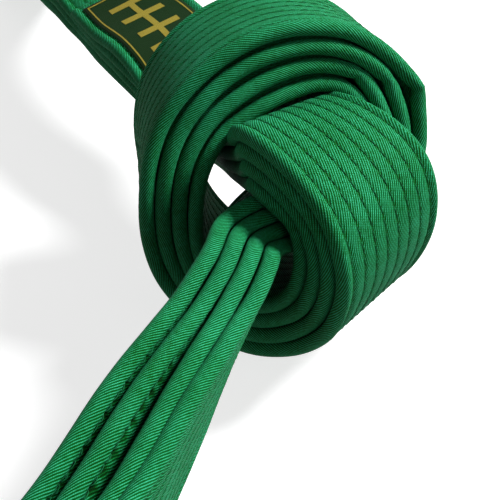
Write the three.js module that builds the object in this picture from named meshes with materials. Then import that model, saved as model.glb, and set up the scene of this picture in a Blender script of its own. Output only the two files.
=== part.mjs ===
import * as THREE from 'three';

// A padded cotton belt, folded twice into a four-layer hank and tied in one overhand knot.
// Millimetres, +Z up, floor at Z = 0. The near tail points to -Y, the labelled tail to +Y.

// ---- Driving dimensions ----

// The belt itself, and the gap between its layers where they lie stacked.
const beltWidth = 40;
const beltThickness = 4;
const layerGap = 1;
const layerPitch = beltThickness + layerGap;

// The twill cover: its cloth, the bevel of its rolled edges and the slit where its edges meet.
const coverCloth = 0.6;
const edgeBevel = 1.3;
const seamSlit = 0.3;

// The padding and the hems stand clear of the cover's inside.
const liningClearance = 0.3;
const hemDepth = 6;

// Lengthwise quilting rows.
const stitchRowCount = 8;
const rowMargin = 4;
const threadWidth = 0.3;
const threadHeight = 0.25;
const threadLift = 0.08;

// The woven label near the free end of the outermost layer.
const labelWidth = 31;
const labelLength = 62;
const labelThickness = 0.4;
const labelEndMargin = 4;
const labelLift = 0.15;
const trimLift = 0.25;
const borderInset = 1.4;
const borderWidth = 0.5;
const borderHeight = 0.25;
const motifHeight = 0.25;
const motifSpineWidth = 2.4;
const motifRungCount = 5;
const motifRungLength = 3;
const motifEndMargin = 9;
const motifSideMargin = 7;

// How far the belt's two free ends stop short of the folded end of the labelled tail.
const labelledEndSetback = 222;
const plainEndSetback = 14;

// Flat straight run at each end of the hank, where it rests on the floor.
const restLength = 14;

// Spacing of the cross-sections along the hank.
const knotStep = 12;
const tailStep = 22;
const foldSteps = 6;

// ---- The hank's route ----

// Half of the four-layer stack, which is also the height of its middle where it lies flat.
const layerCount = 4;
const hankHalf = ((layerCount - 1) * layerPitch + beltThickness) / 2;

// The route is drawn for this belt, and grows with a wider or thicker one so the knot stays clear.
const routeWidth = 40;
const routeThickness = 4;
const routeHalf = 9.5;
const routeScale = Math.max(beltWidth / routeWidth, beltThickness / routeThickness, hankHalf / routeHalf);

// Stations of the hank's middle, each with the direction across the belt toward the edge
// that faces up and forward round the knot. The stations run from the near tail's end, over
// the knot's near side, through its eye, round the back and top, down the left, under the
// near tail, up the front face, under the top and out along the labelled tail.
const route = [
  { at: [-90, -178, 10], across: [-0.94, 0.34, 0] },
  { at: [-79, -158, 12], across: [-0.93, 0.35, 0.12] },
  { at: [-64, -138, 21], across: [-0.72, 0.3, 0.62] },
  { at: [-48, -118, 34], across: [-0.22, 0.06, 0.97] },
  { at: [-40, -95, 38], across: [0.06, -0.03, 1] },
  { at: [-33, -75, 40], across: [0.11, -0.15, 0.98] },
  { at: [-24, -52, 41], across: [0.2, -0.23, 0.95] },
  { at: [-16, -31, 46], across: [0.21, -0.4, 0.89] },
  { at: [-11, -13, 46], across: [0.12, -0.65, 0.75] },
  { at: [-2, 5, 42], across: [0.47, -0.64, 0.6] },
  { at: [18, 25, 43], across: [0.38, -0.83, 0.41] },
  { at: [29, 32, 53], across: [0.27, -0.91, 0.32] },
  { at: [25, 40, 74], across: [0.11, -0.95, 0.29] },
  { at: [6, 40, 86], across: [0.18, -0.97, 0.14] },
  { at: [-16, 33, 84], across: [0.33, -0.93, 0.15] },
  { at: [-32, 25, 69], across: [0.25, -0.95, 0.19] },
  { at: [-35, 18, 46], across: [0.09, -0.96, 0.25] },
  { at: [-28, 16, 24], across: [-0.19, -0.95, 0.23] },
  { at: [-7, 3, 13], across: [-0.5, -0.85, 0.18] },
  { at: [12, -8, 23], across: [-0.61, -0.79, 0] },
  { at: [21, -18, 44], across: [-0.68, -0.73, 0] },
  { at: [19, -16, 66], across: [-0.78, -0.63, -0.06] },
  { at: [5, -1, 72], across: [-0.81, -0.58, 0.05] },
  { at: [2, 17, 63], across: [-0.8, -0.59, -0.08] },
  { at: [-5, 40, 56], across: [-0.76, -0.48, -0.43] },
  { at: [-21, 66, 51], across: [-0.59, -0.47, -0.66] },
  { at: [-38, 91, 53], across: [-0.79, -0.57, -0.22] },
  { at: [-57, 120, 57], across: [-0.86, -0.42, -0.3] },
  { at: [-73, 147, 61], across: [-0.88, -0.42, -0.2] },
  { at: [-87, 174, 60], across: [-0.89, -0.44, -0.1] },
  { at: [-100, 202, 53], across: [-0.89, -0.46, 0] },
  { at: [-112, 230, 41], across: [-0.89, -0.45, 0] },
  { at: [-124, 257, 28], across: [-0.89, -0.45, 0] },
  { at: [-136, 283, 16], across: [-0.89, -0.45, 0] },
  { at: [-148, 307, 10], across: [-0.89, -0.45, 0] },
];

// Stations between which the hank is knotted and needs the closer cross-sections.
const knotFirstStation = 1;
const knotLastStation = 27;

// Stretches where the layers part at their near edges: the place along the route, counted in
// stations, of the widest gap; how far it reaches either way; the share by which the stack
// grows there; and the level that stays put, from -1 at the innermost face to 1 at the outermost.
const partings = [
  { middle: 4, reach: 95, growth: 0.24, fixedLevel: 0 },
  { middle: 13.8, reach: 36, growth: 0.14, fixedLevel: 1 },
];

// Natural cubic spline through rows of values: returns a function of the parameter.
function naturalSpline(knots, rows) {
  const last = knots.length - 1;
  const width = rows[0].length;
  const bend = rows.map(() => new Array(width).fill(0));
  const upper = new Array(last + 1).fill(0);
  for (let i = 1; i < last; i += 1) {
    const before = knots[i] - knots[i - 1];
    const after = knots[i + 1] - knots[i];
    const pivot = 2 * (before + after) - before * upper[i - 1];
    upper[i] = after / pivot;
    for (let c = 0; c < width; c += 1) {
      const slopeAfter = (rows[i + 1][c] - rows[i][c]) / after;
      const slopeBefore = (rows[i][c] - rows[i - 1][c]) / before;
      bend[i][c] = (6 * (slopeAfter - slopeBefore) - before * bend[i - 1][c]) / pivot;
    }
  }
  for (let i = last - 1; i > 0; i -= 1) {
    for (let c = 0; c < width; c += 1) {
      bend[i][c] -= upper[i] * bend[i + 1][c];
    }
  }
  return (u) => {
    let i = 0;
    while (i < last - 1 && u > knots[i + 1]) {
      i += 1;
    }
    const span = knots[i + 1] - knots[i];
    const b = (u - knots[i]) / span;
    const a = 1 - b;
    return rows[i].map((value, c) => a * value + b * rows[i + 1][c]
      + ((a ** 3 - a) * bend[i][c] + (b ** 3 - b) * bend[i + 1][c]) * span * span / 6);
  };
}

// The route as a function of distance along it, and the distance of every station.
function measureRoute() {
  const rows = route.map(({ at, across }) => {
    const unit = new THREE.Vector3(...across).normalize();
    return [...at.map((v) => v * routeScale), ...unit.toArray()];
  });
  rows[0][2] = hankHalf;
  rows[rows.length - 1][2] = hankHalf;
  const knots = [0];
  for (let i = 1; i < rows.length; i += 1) {
    const step = Math.hypot(...rows[i].slice(0, 3).map((v, c) => v - rows[i - 1][c]));
    knots.push(knots[i - 1] + Math.sqrt(step));
  }
  const spline = naturalSpline(knots, rows);
  const samplesPerStation = 40;
  const params = [0];
  const distances = [0];
  const stationDistances = [0];
  let previous = spline(0);
  for (let i = 1; i < knots.length; i += 1) {
    for (let k = 1; k <= samplesPerStation; k += 1) {
      const u = knots[i - 1] + (knots[i] - knots[i - 1]) * k / samplesPerStation;
      const row = spline(u);
      const step = Math.hypot(row[0] - previous[0], row[1] - previous[1], row[2] - previous[2]);
      params.push(u);
      distances.push(distances[distances.length - 1] + step);
      previous = row;
    }
    stationDistances.push(distances[distances.length - 1]);
  }
  return { spline, params, distances, stationDistances };
}

const measured = measureRoute();
const routeLength = measured.distances[measured.distances.length - 1];

// How much the layers part at a distance, one share for each parting.
function partingShares(distance) {
  const { stationDistances } = measured;
  return partings.map(({ middle, reach }) => {
    const station = Math.floor(middle);
    const [low, high] = [stationDistances[station], stationDistances[station + 1]];
    const away = Math.abs(distance - low - (middle - station) * (high - low)) / (reach * routeScale);
    return away < 1 ? (1 + Math.cos(Math.PI * away)) / 2 : 0;
  });
}

// A frame is a point on the hank's middle with its run, across and outward directions, and
// how much the layers part there.
function makeFrame(point, run, across, shares) {
  const along = run.clone().normalize();
  const side = across.clone().normalize();
  const outward = new THREE.Vector3().crossVectors(along, side).normalize();
  return { point, along, side, outward, shares };
}

function frameOnRoute(distance) {
  const { spline, params, distances } = measured;
  let i = 1;
  while (i < distances.length - 1 && distances[i] < distance) {
    i += 1;
  }
  const share = (distance - distances[i - 1]) / (distances[i] - distances[i - 1]);
  const u = params[i - 1] + share * (params[i] - params[i - 1]);
  const nudge = 1e-3;
  const row = spline(u);
  const ahead = spline(Math.min(u + nudge, params[params.length - 1]));
  const behind = spline(Math.max(u - nudge, 0));
  const run = new THREE.Vector3(...ahead.slice(0, 3)).sub(new THREE.Vector3(...behind.slice(0, 3)));
  const [point, side] = [new THREE.Vector3(...row.slice(0, 3)), new THREE.Vector3(...row.slice(3))];
  return makeFrame(point, run, side, partingShares(distance));
}

// The flat straight run beyond one end of the route; sign is -1 at the near tail, +1 at the far.
function restFrame(sign, reach) {
  const end = sign < 0 ? rowPoint(0) : rowPoint(route.length - 1);
  const inner = sign < 0 ? rowPoint(1) : rowPoint(route.length - 2);
  const out = end.clone().sub(inner).setZ(0).normalize();
  const level = new THREE.Vector3(0, 0, 1);
  const side = new THREE.Vector3().crossVectors(level, out).multiplyScalar(sign);
  const closed = partings.map(() => 0);
  return makeFrame(end.clone().addScaledVector(out, reach), out.clone().multiplyScalar(sign), side, closed);
}

function rowPoint(index) {
  const [x, y] = route[index].at;
  return new THREE.Vector3(x * routeScale, y * routeScale, hankHalf);
}

// Cross-sections from one distance to another, evenly spaced.
function spread(from, to, step) {
  const count = Math.max(1, Math.round((to - from) / step));
  return Array.from({ length: count }, (_, i) => from + (to - from) * i / count);
}

const knotStart = measured.stationDistances[knotFirstStation];
const knotEnd = measured.stationDistances[knotLastStation];
const sectionDistances = [
  ...spread(tailStep / 2, knotStart, tailStep),
  ...spread(knotStart, knotEnd, knotStep),
  ...spread(knotEnd, routeLength - tailStep / 2, tailStep),
  routeLength - tailStep / 2,
];

// Every cross-section of the hank with its place along it, from the near fold to the far one.
const sections = [
  { place: -restLength, frame: restFrame(-1, restLength) },
  { place: 0, frame: restFrame(-1, 0) },
  ...sectionDistances.map((place) => ({ place, frame: frameOnRoute(place) })),
  { place: routeLength, frame: restFrame(1, 0) },
  { place: routeLength + restLength, frame: restFrame(1, restLength) },
];
const hankStart = -restLength;
const hankEnd = routeLength + restLength;

// A frame part-way between two cross-sections, on the flat facets that join them.
function frameBetween(place) {
  let i = 1;
  while (i < sections.length - 1 && sections[i].place < place) {
    i += 1;
  }
  const low = sections[i - 1];
  const high = sections[i];
  const share = (place - low.place) / (high.place - low.place);
  const mix = (key) => low.frame[key].clone().lerp(high.frame[key], share);
  const shares = low.frame.shares.map((value, k) => value + share * (high.frame.shares[k] - value));
  return { point: mix('point'), along: mix('along'), side: mix('side'), outward: mix('outward'), shares };
}

// The frames of a stretch of the hank, cut to length at both ends.
function stretch(from, to) {
  const tiny = 0.5;
  const inside = sections.filter(({ place }) => place > from + tiny && place < to - tiny);
  return [frameBetween(from), ...inside.map(({ frame }) => frame), frameBetween(to)];
}

// ---- Solids ----

// A closed mesh from points and triangles, turned so that it faces out.
function closedMesh(name, points, triangles, material) {
  let volume = 0;
  for (const [a, b, c] of triangles) {
    volume += points[a].dot(new THREE.Vector3().crossVectors(points[b], points[c]));
  }
  const outward = volume > 0 ? triangles : triangles.map(([a, b, c]) => [a, c, b]);
  const geometry = new THREE.BufferGeometry();
  const positions = points.flatMap((point) => point.toArray());
  geometry.setAttribute('position', new THREE.Float32BufferAttribute(positions, 3));
  geometry.setIndex(outward.flat());
  geometry.computeVertexNormals();
  const mesh = new THREE.Mesh(geometry, material);
  mesh.name = name;
  return mesh;
}

// A point of a cross-section. Where the layers part, they swing open toward the near edge.
function placeOn(frame, across, out) {
  const towardNearEdge = 0.5 + across / beltWidth;
  let height = out;
  partings.forEach(({ growth, fixedLevel }, k) => {
    const fixed = fixedLevel * hankHalf;
    height += (out - fixed) * growth * frame.shares[k] * towardNearEdge;
  });
  return frame.point.clone().addScaledVector(frame.side, across).addScaledVector(frame.outward, height);
}

// Sweeps a closed outline of [across, out] pairs along frames. The facets of every swept
// surface are split along the same diagonal, so nested and stacked layers stay parallel.
function sweep(name, frames, outline, capTriangles, material) {
  const ring = outline.length;
  const points = frames.flatMap((frame) => outline.map(([across, out]) => placeOn(frame, across, out)));
  const triangles = [];
  for (let i = 0; i + 1 < frames.length; i += 1) {
    for (let j = 0; j < ring; j += 1) {
      const next = (j + 1) % ring;
      const [p, q] = [i * ring + j, i * ring + next];
      const [r, s] = [p + ring, q + ring];
      if (outline[next][0] >= outline[j][0]) {
        triangles.push([p, q, s], [p, s, r]);
      } else {
        triangles.push([p, q, r], [q, s, r]);
      }
    }
  }
  const farCap = (frames.length - 1) * ring;
  for (const [a, b, c] of capTriangles) {
    triangles.push([a, c, b], [farCap + a, farCap + b, farCap + c]);
  }
  return closedMesh(name, points, triangles, material);
}

// Distances across the belt of the quilting rows.
const rowSpacing = (beltWidth - 2 * rowMargin) / (stitchRowCount - 1);
const rowPlaces = Array.from({ length: stitchRowCount }, (_, i) => -beltWidth / 2 + rowMargin + i * rowSpacing);

// One loop of the belt's profile, open at the seam edge, set in from the outside by an inset.
function profileLoop(inset, lanes, slit) {
  const wide = beltWidth / 2 - inset;
  const high = beltThickness / 2 - inset;
  const flat = wide - edgeBevel;
  return [
    [-wide, slit / 2],
    [-flat, high],
    ...lanes.map((across) => [across, high]),
    [flat, high],
    [wide, 0],
    [flat, -high],
    [-flat, -high],
    [-wide, -slit / 2],
  ];
}

function shift(loop, offset) {
  return loop.map(([across, out]) => [across, out + offset]);
}

// A length of the cover: a folded twill shell whose cloth edges meet at a slit.
function coverShell(name, frames, offset, lanes) {
  const outer = profileLoop(0, lanes, seamSlit);
  const inner = profileLoop(coverCloth, lanes, seamSlit);
  const outline = shift([...outer, ...inner.slice().reverse()], offset);
  const count = outline.length;
  const cap = [];
  for (let j = 0; j + 1 < outer.length; j += 1) {
    const [a, b] = [j, j + 1];
    const [c, d] = [count - 2 - j, count - 1 - j];
    cap.push([a, b, c], [a, c, d]);
  }
  return sweep(name, frames, outline, cap, twillMaterial);
}

// A plain filled length that fits inside the cover: padding, or a folded hem.
function lining(name, frames, offset, lanes, material) {
  const outline = shift(profileLoop(coverCloth + liningClearance, lanes, seamSlit), offset);
  const cap = [];
  for (let j = 1; j + 1 < outline.length; j += 1) {
    cap.push([0, j, j + 1]);
  }
  return sweep(name, frames, outline, cap, material);
}

// A slab of cells laid on a layer: rows of frames by lanes across, with cells left out by a mask.
function slab(name, frames, lanes, isFilled, low, high, material) {
  const points = [];
  const index = new Map();
  const vertex = (i, j, level) => {
    const key = `${i}/${j}/${level}`;
    if (!index.has(key)) {
      index.set(key, points.length);
      points.push(placeOn(frames[i], lanes[j], level === 0 ? low : high));
    }
    return index.get(key);
  };
  const filled = (i, j) => i >= 0 && j >= 0 && i + 1 < frames.length && j + 1 < lanes.length
    && isFilled(i, j);
  const triangles = [];
  const wall = (i0, j0, i1, j1) => {
    const [a, b] = [vertex(i0, j0, 0), vertex(i1, j1, 0)];
    const [c, d] = [vertex(i0, j0, 1), vertex(i1, j1, 1)];
    triangles.push([a, b, d], [a, d, c]);
  };
  for (let i = 0; i + 1 < frames.length; i += 1) {
    for (let j = 0; j + 1 < lanes.length; j += 1) {
      if (!filled(i, j)) {
        continue;
      }
      const [a, b, c, d] = [[i, j], [i, j + 1], [i + 1, j], [i + 1, j + 1]];
      triangles.push([vertex(...a, 1), vertex(...b, 1), vertex(...d, 1)]);
      triangles.push([vertex(...a, 1), vertex(...d, 1), vertex(...c, 1)]);
      triangles.push([vertex(...a, 0), vertex(...d, 0), vertex(...b, 0)]);
      triangles.push([vertex(...a, 0), vertex(...c, 0), vertex(...d, 0)]);
      if (!filled(i - 1, j)) {
        wall(i, j, i, j + 1);
      }
      if (!filled(i + 1, j)) {
        wall(i + 1, j + 1, i + 1, j);
      }
      if (!filled(i, j - 1)) {
        wall(i + 1, j, i, j);
      }
      if (!filled(i, j + 1)) {
        wall(i, j + 1, i + 1, j + 1);
      }
    }
  }
  return closedMesh(name, points, triangles, material);
}

// ---- Materials ----

const twillMaterial = new THREE.MeshStandardMaterial({ color: 0x0b6b3c, roughness: 0.8, metalness: 0 });
const paddingMaterial = new THREE.MeshStandardMaterial({ color: 0xe6e0d0, roughness: 0.95, metalness: 0 });
const threadMaterial = new THREE.MeshStandardMaterial({ color: 0x0a4f2e, roughness: 0.6, metalness: 0 });
const labelMaterial = new THREE.MeshStandardMaterial({ color: 0x15251a, roughness: 0.7, metalness: 0 });
const goldMaterial = new THREE.MeshStandardMaterial({ color: 0xc9a13a, roughness: 0.45, metalness: 0 });

// ---- The belt, layer by layer ----

const part = new THREE.Group();
part.name = 'martial_arts_belt';

// Layer offsets from the hank's middle, outermost first. The belt's free ends are on the first
// two layers; the outer fold joins the first to the last, the inner fold the middle two.
const layerOffsets = Array.from({ length: layerCount }, (_, i) => ((layerCount - 1) / 2 - i) * layerPitch);
const layerEnds = [hankEnd - labelledEndSetback, hankEnd - plainEndSetback, hankEnd, hankEnd];
const freeEnded = [true, true, false, false];

// Cover and padding of every straight layer. Only the outermost carries lanes for the rows.
layerOffsets.forEach((offset, i) => {
  const number = i + 1;
  const lanes = i === 0 ? rowPlaces : [];
  const paddingEnd = layerEnds[i] - (freeEnded[i] ? hemDepth + liningClearance : 0);
  part.add(coverShell(`cover_run_${number}`, stretch(hankStart, layerEnds[i]), offset, lanes));
  part.add(lining(`padding_run_${number}`, stretch(hankStart, paddingEnd), offset, lanes, paddingMaterial));
});

// Hems: the cover's ends turned in, which close its mouth at the two free ends.
const hemNames = ['hem_labelled_end', 'hem_plain_end'];
hemNames.forEach((name, i) => {
  const frames = stretch(layerEnds[i] - hemDepth, layerEnds[i]);
  part.add(lining(name, frames, layerOffsets[i], i === 0 ? rowPlaces : [], twillMaterial));
});

// The belt's turns at the ends of the hank: half circles from one layer to another.
function foldFrames(sign, fromOffset, toOffset) {
  const end = sections[sign < 0 ? 0 : sections.length - 1].frame;
  const centre = placeOn(end, 0, (fromOffset + toOffset) / 2);
  const radius = (fromOffset - toOffset) / 2;
  const out = end.along.clone().multiplyScalar(sign);
  return Array.from({ length: foldSteps + 1 }, (_, i) => {
    const turn = Math.PI * i / foldSteps;
    const outward = end.outward.clone().multiplyScalar(Math.cos(turn)).addScaledVector(out, Math.sin(turn));
    const point = centre.clone().addScaledVector(outward, radius);
    return { point, along: out, side: end.side, outward, shares: end.shares };
  });
}

const folds = [
  { name: 'outer', sign: -1, from: layerOffsets[0], to: layerOffsets[3] },
  { name: 'inner', sign: -1, from: layerOffsets[1], to: layerOffsets[2] },
  { name: 'centre', sign: 1, from: layerOffsets[2], to: layerOffsets[3] },
];
for (const { name, sign, from, to } of folds) {
  const frames = foldFrames(sign, from, to);
  part.add(coverShell(`cover_fold_${name}`, frames, 0, []));
  part.add(lining(`padding_fold_${name}`, frames, 0, [], paddingMaterial));
}

// Quilting rows, each a thread along the outermost face.
const faceLevel = layerOffsets[0] + beltThickness / 2;
rowPlaces.forEach((across, i) => {
  const foot = faceLevel + threadLift;
  const outline = [
    [across - threadWidth / 2, foot],
    [across, foot + threadHeight],
    [across + threadWidth / 2, foot],
  ];
  const frames = stretch(hankStart + hemDepth, layerEnds[0] - hemDepth);
  part.add(sweep(`stitch_row_${i + 1}`, frames, outline, [[0, 1, 2]], threadMaterial));
});

// The woven label, over the rows at the labelled end, with its border stitch and its motif.
const labelEnd = layerEnds[0] - labelEndMargin;
const labelStart = labelEnd - labelLength;
const labelFoot = faceLevel + threadLift + threadHeight + labelLift;
const labelTop = labelFoot + labelThickness;
const trimFoot = labelTop + trimLift;

function lanesWithin(extra) {
  const edge = Math.max(...extra);
  const kept = rowPlaces.filter((across) => Math.abs(across) < edge
    && extra.every((other) => Math.abs(other - across) > threadWidth));
  return [...kept, ...extra].sort((a, b) => a - b);
}

// Frames of a stretch that also stops at some extra places.
function stretchThrough(places) {
  const frames = [];
  for (let i = 0; i + 1 < places.length; i += 1) {
    frames.push(...stretch(places[i], places[i + 1]).slice(0, -1).map((frame) => ({ frame, cell: i })));
  }
  frames.push({ frame: frameBetween(places[places.length - 1]), cell: places.length - 1 });
  return frames;
}

const labelHalf = labelWidth / 2;
const labelFrames = stretch(labelStart, labelEnd);
const labelLanes = lanesWithin([-labelHalf, labelHalf]);
part.add(slab('label_patch', labelFrames, labelLanes, () => true, labelFoot, labelTop, labelMaterial));

const borderOuter = labelHalf - borderInset;
const borderInner = borderOuter - borderWidth;
const borderLanes = lanesWithin([-borderOuter, -borderInner, borderInner, borderOuter]);
const borderStops = stretchThrough([
  labelStart + borderInset,
  labelStart + borderInset + borderWidth,
  labelEnd - borderInset - borderWidth,
  labelEnd - borderInset,
]);
part.add(slab(
  'label_border_stitch',
  borderStops.map(({ frame }) => frame),
  borderLanes,
  (i, j) => borderStops[i].cell !== 1 || Math.abs(borderLanes[j] + borderLanes[j + 1]) > 2 * borderInner,
  trimFoot,
  trimFoot + borderHeight,
  goldMaterial,
));

// The motif is a plain ladder: one spine down the label with rungs across it.
const motifStart = labelStart + motifEndMargin;
const motifLength = labelLength - 2 * motifEndMargin;
const motifGap = (motifLength - motifRungCount * motifRungLength) / (motifRungCount - 1);
const motifPlaces = Array.from({ length: motifRungCount }, (_, i) => motifStart + i * (motifRungLength + motifGap))
  .flatMap((place) => [place, place + motifRungLength]);
const motifStops = stretchThrough(motifPlaces);
const motifEdge = labelHalf - motifSideMargin;
const motifLanes = lanesWithin([-motifEdge, -motifSpineWidth / 2, motifSpineWidth / 2, motifEdge]);
part.add(slab(
  'label_motif',
  motifStops.map(({ frame }) => frame),
  motifLanes,
  (i, j) => motifStops[i].cell % 2 === 0 || Math.abs(motifLanes[j] + motifLanes[j + 1]) < motifSpineWidth,
  trimFoot,
  trimFoot + motifHeight,
  goldMaterial,
));

// The origin is under the middle of the hank, at floor level.
const bounds = new THREE.Box3().setFromObject(part);
const middle = bounds.getCenter(new THREE.Vector3());
part.position.set(-middle.x, -middle.y, -bounds.min.z);

export default part;
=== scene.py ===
import math

import bmesh
import bpy
import numpy as np
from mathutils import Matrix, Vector


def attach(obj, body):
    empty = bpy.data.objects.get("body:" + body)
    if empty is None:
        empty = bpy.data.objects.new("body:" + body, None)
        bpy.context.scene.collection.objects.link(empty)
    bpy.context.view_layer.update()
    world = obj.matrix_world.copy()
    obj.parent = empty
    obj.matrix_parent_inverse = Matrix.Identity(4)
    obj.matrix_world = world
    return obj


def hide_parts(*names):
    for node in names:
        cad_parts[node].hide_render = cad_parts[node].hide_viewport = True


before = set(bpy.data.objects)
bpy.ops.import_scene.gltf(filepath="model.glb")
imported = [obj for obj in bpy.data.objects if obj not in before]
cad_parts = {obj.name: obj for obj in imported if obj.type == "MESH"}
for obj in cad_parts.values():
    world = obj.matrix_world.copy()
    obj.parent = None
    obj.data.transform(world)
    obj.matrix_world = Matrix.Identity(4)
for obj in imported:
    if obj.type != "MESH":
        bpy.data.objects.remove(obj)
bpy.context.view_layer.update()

MM = 0.001

# ---------------------------------------------------------------------------
# The view. The belt is seen from a little above its near tail, close up, so the
# near tail swells toward the eye and the labelled tail shrinks away.
# ---------------------------------------------------------------------------

SENSOR_WIDTH = 36.0
VIEW_DEGREES = 31.3
LOOK_DOWN_DEGREES = 38
EYE_PLACE = (0.0550, -0.2778, 0.2023)

eye = bpy.data.cameras.new("view")
eye.sensor_width = SENSOR_WIDTH
eye.lens = SENSOR_WIDTH / (2 * math.tan(math.radians(VIEW_DEGREES) / 2))
eye_object = bpy.data.objects.new("view", eye)
bpy.context.collection.objects.link(eye_object)
eye_object.location = EYE_PLACE
eye_object.rotation_euler = (math.radians(90 - LOOK_DOWN_DEGREES), 0, 0)
bpy.context.scene.camera = eye_object

# ---------------------------------------------------------------------------
# The hank. The belt is folded end over end into four layers and the layers are
# tied together in one overhand knot. This is the line of the hank's middle,
# with the direction across the belt at each station, and where its layers part.
# ---------------------------------------------------------------------------

BELT_WIDTH = 40 * MM
BELT_THICKNESS = 4 * MM
LAYER_PITCH = 5 * MM
LAYERS = 4
REST_LENGTH = 14 * MM
REST_POINTS = 20
LINE_POINTS = 4000
HANK_HALF = ((LAYERS - 1) * LAYER_PITCH + BELT_THICKNESS) / 2

# The route's own origin sits here in the belt's frame.
ROUTE_ORIGIN = np.array([0.065149, -0.062153, 0.0])

ROUTE = [
    # place of the middle (metres), direction across the belt
    ((-0.090, -0.178, HANK_HALF), (-0.94, 0.34, 0)),
    ((-0.079, -0.158, 0.012), (-0.93, 0.35, 0.12)),
    ((-0.064, -0.138, 0.021), (-0.72, 0.3, 0.62)),
    ((-0.048, -0.118, 0.034), (-0.22, 0.06, 0.97)),
    ((-0.040, -0.095, 0.038), (0.06, -0.03, 1)),
    ((-0.033, -0.075, 0.040), (0.11, -0.15, 0.98)),
    ((-0.024, -0.052, 0.041), (0.2, -0.23, 0.95)),
    ((-0.016, -0.031, 0.046), (0.21, -0.4, 0.89)),
    ((-0.011, -0.013, 0.046), (0.12, -0.65, 0.75)),
    ((-0.002, 0.005, 0.042), (0.47, -0.64, 0.6)),
    ((0.018, 0.025, 0.043), (0.38, -0.83, 0.41)),
    ((0.029, 0.032, 0.053), (0.27, -0.91, 0.32)),
    ((0.025, 0.040, 0.074), (0.11, -0.95, 0.29)),
    ((0.006, 0.040, 0.086), (0.18, -0.97, 0.14)),
    ((-0.016, 0.033, 0.084), (0.33, -0.93, 0.15)),
    ((-0.032, 0.025, 0.069), (0.25, -0.95, 0.19)),
    ((-0.035, 0.018, 0.046), (0.09, -0.96, 0.25)),
    ((-0.028, 0.016, 0.024), (-0.19, -0.95, 0.23)),
    ((-0.007, 0.003, 0.013), (-0.5, -0.85, 0.18)),
    ((0.012, -0.008, 0.023), (-0.61, -0.79, 0)),
    ((0.021, -0.018, 0.044), (-0.68, -0.73, 0)),
    ((0.019, -0.016, 0.066), (-0.78, -0.63, -0.06)),
    ((0.005, -0.001, 0.072), (-0.81, -0.58, 0.05)),
    ((0.002, 0.017, 0.063), (-0.8, -0.59, -0.08)),
    ((-0.005, 0.040, 0.056), (-0.76, -0.48, -0.43)),
    ((-0.021, 0.066, 0.051), (-0.59, -0.47, -0.66)),
    ((-0.038, 0.091, 0.053), (-0.79, -0.57, -0.22)),
    ((-0.057, 0.120, 0.057), (-0.86, -0.42, -0.3)),
    ((-0.073, 0.147, 0.061), (-0.88, -0.42, -0.2)),
    ((-0.087, 0.174, 0.060), (-0.89, -0.44, -0.1)),
    ((-0.100, 0.202, 0.053), (-0.89, -0.46, 0)),
    ((-0.112, 0.230, 0.041), (-0.89, -0.45, 0)),
    ((-0.124, 0.257, 0.028), (-0.89, -0.45, 0)),
    ((-0.136, 0.283, 0.016), (-0.89, -0.45, 0)),
    ((-0.148, 0.307, HANK_HALF), (-0.89, -0.45, 0)),
]


def unit(vectors):
    return vectors / np.linalg.norm(vectors, axis=-1, keepdims=True)


def natural_bends(knots, rows):
    """Second derivatives of the natural cubic spline through the rows."""
    count = len(knots)
    gaps = np.diff(knots)
    system = np.eye(count)
    right = np.zeros_like(rows)
    for i in range(1, count - 1):
        system[i, i - 1:i + 2] = gaps[i - 1], 2 * (gaps[i - 1] + gaps[i]), gaps[i]
        right[i] = 6 * ((rows[i + 1] - rows[i]) / gaps[i] - (rows[i] - rows[i - 1]) / gaps[i - 1])
    return np.linalg.solve(system, right)


def spline_at(knots, rows, bends, u):
    """The rows of the natural cubic spline at each u."""
    i = np.clip(np.searchsorted(knots, u) - 1, 0, len(knots) - 2)
    span = (knots[i + 1] - knots[i])[:, None]
    b = (u - knots[i])[:, None] / span
    a = 1 - b
    return (a * rows[i] + b * rows[i + 1]
            + ((a ** 3 - a) * bends[i] + (b ** 3 - b) * bends[i + 1]) * span ** 2 / 6)


def trace_hank():
    """Closely spaced points and across directions of the hank, with their distances."""
    places = np.array([p for p, _ in ROUTE]) + ROUTE_ORIGIN
    across = unit(np.array([w for _, w in ROUTE], float))
    knots = np.r_[0, np.cumsum(np.sqrt(np.linalg.norm(np.diff(places, axis=0), axis=1) / MM))]
    rows = np.hstack([places, across])
    u = np.linspace(0, knots[-1], LINE_POINTS)
    line = spline_at(knots, rows, natural_bends(knots, rows), u)
    points, sides = line[:, :3], unit(line[:, 3:])
    distance = np.r_[0, np.cumsum(np.linalg.norm(np.diff(points, axis=0), axis=1))]
    station_distance = np.interp(knots, u, distance)

    def rest_run(end, inner, sign):
        out = unit((places[end] - places[inner]) * [1, 1, 0])
        reach = np.linspace(0, REST_LENGTH, REST_POINTS)[1:, None]
        side = np.cross([0, 0, 1.0], out) * sign
        return places[end] + out * reach, np.repeat(side[None], len(reach), 0), reach[:, 0]

    near_points, near_sides, near_reach = rest_run(0, 1, -1)
    far_points, far_sides, far_reach = rest_run(-1, -2, 1)
    points = np.vstack([near_points[::-1], points, far_points])
    sides = np.vstack([near_sides[::-1], sides, far_sides])
    distance = np.r_[-near_reach[::-1], distance, distance[-1] + far_reach]
    return points, sides, distance, station_distance


hank_points, hank_sides, hank_distance, STATION = trace_hank()
HANK_START, HANK_END = hank_distance[0], hank_distance[-1]
EVEN_STEP = 0.5 * MM
ACROSS_IRONED = 4 * MM
OUTWARD_IRONED = 5 * MM


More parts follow.
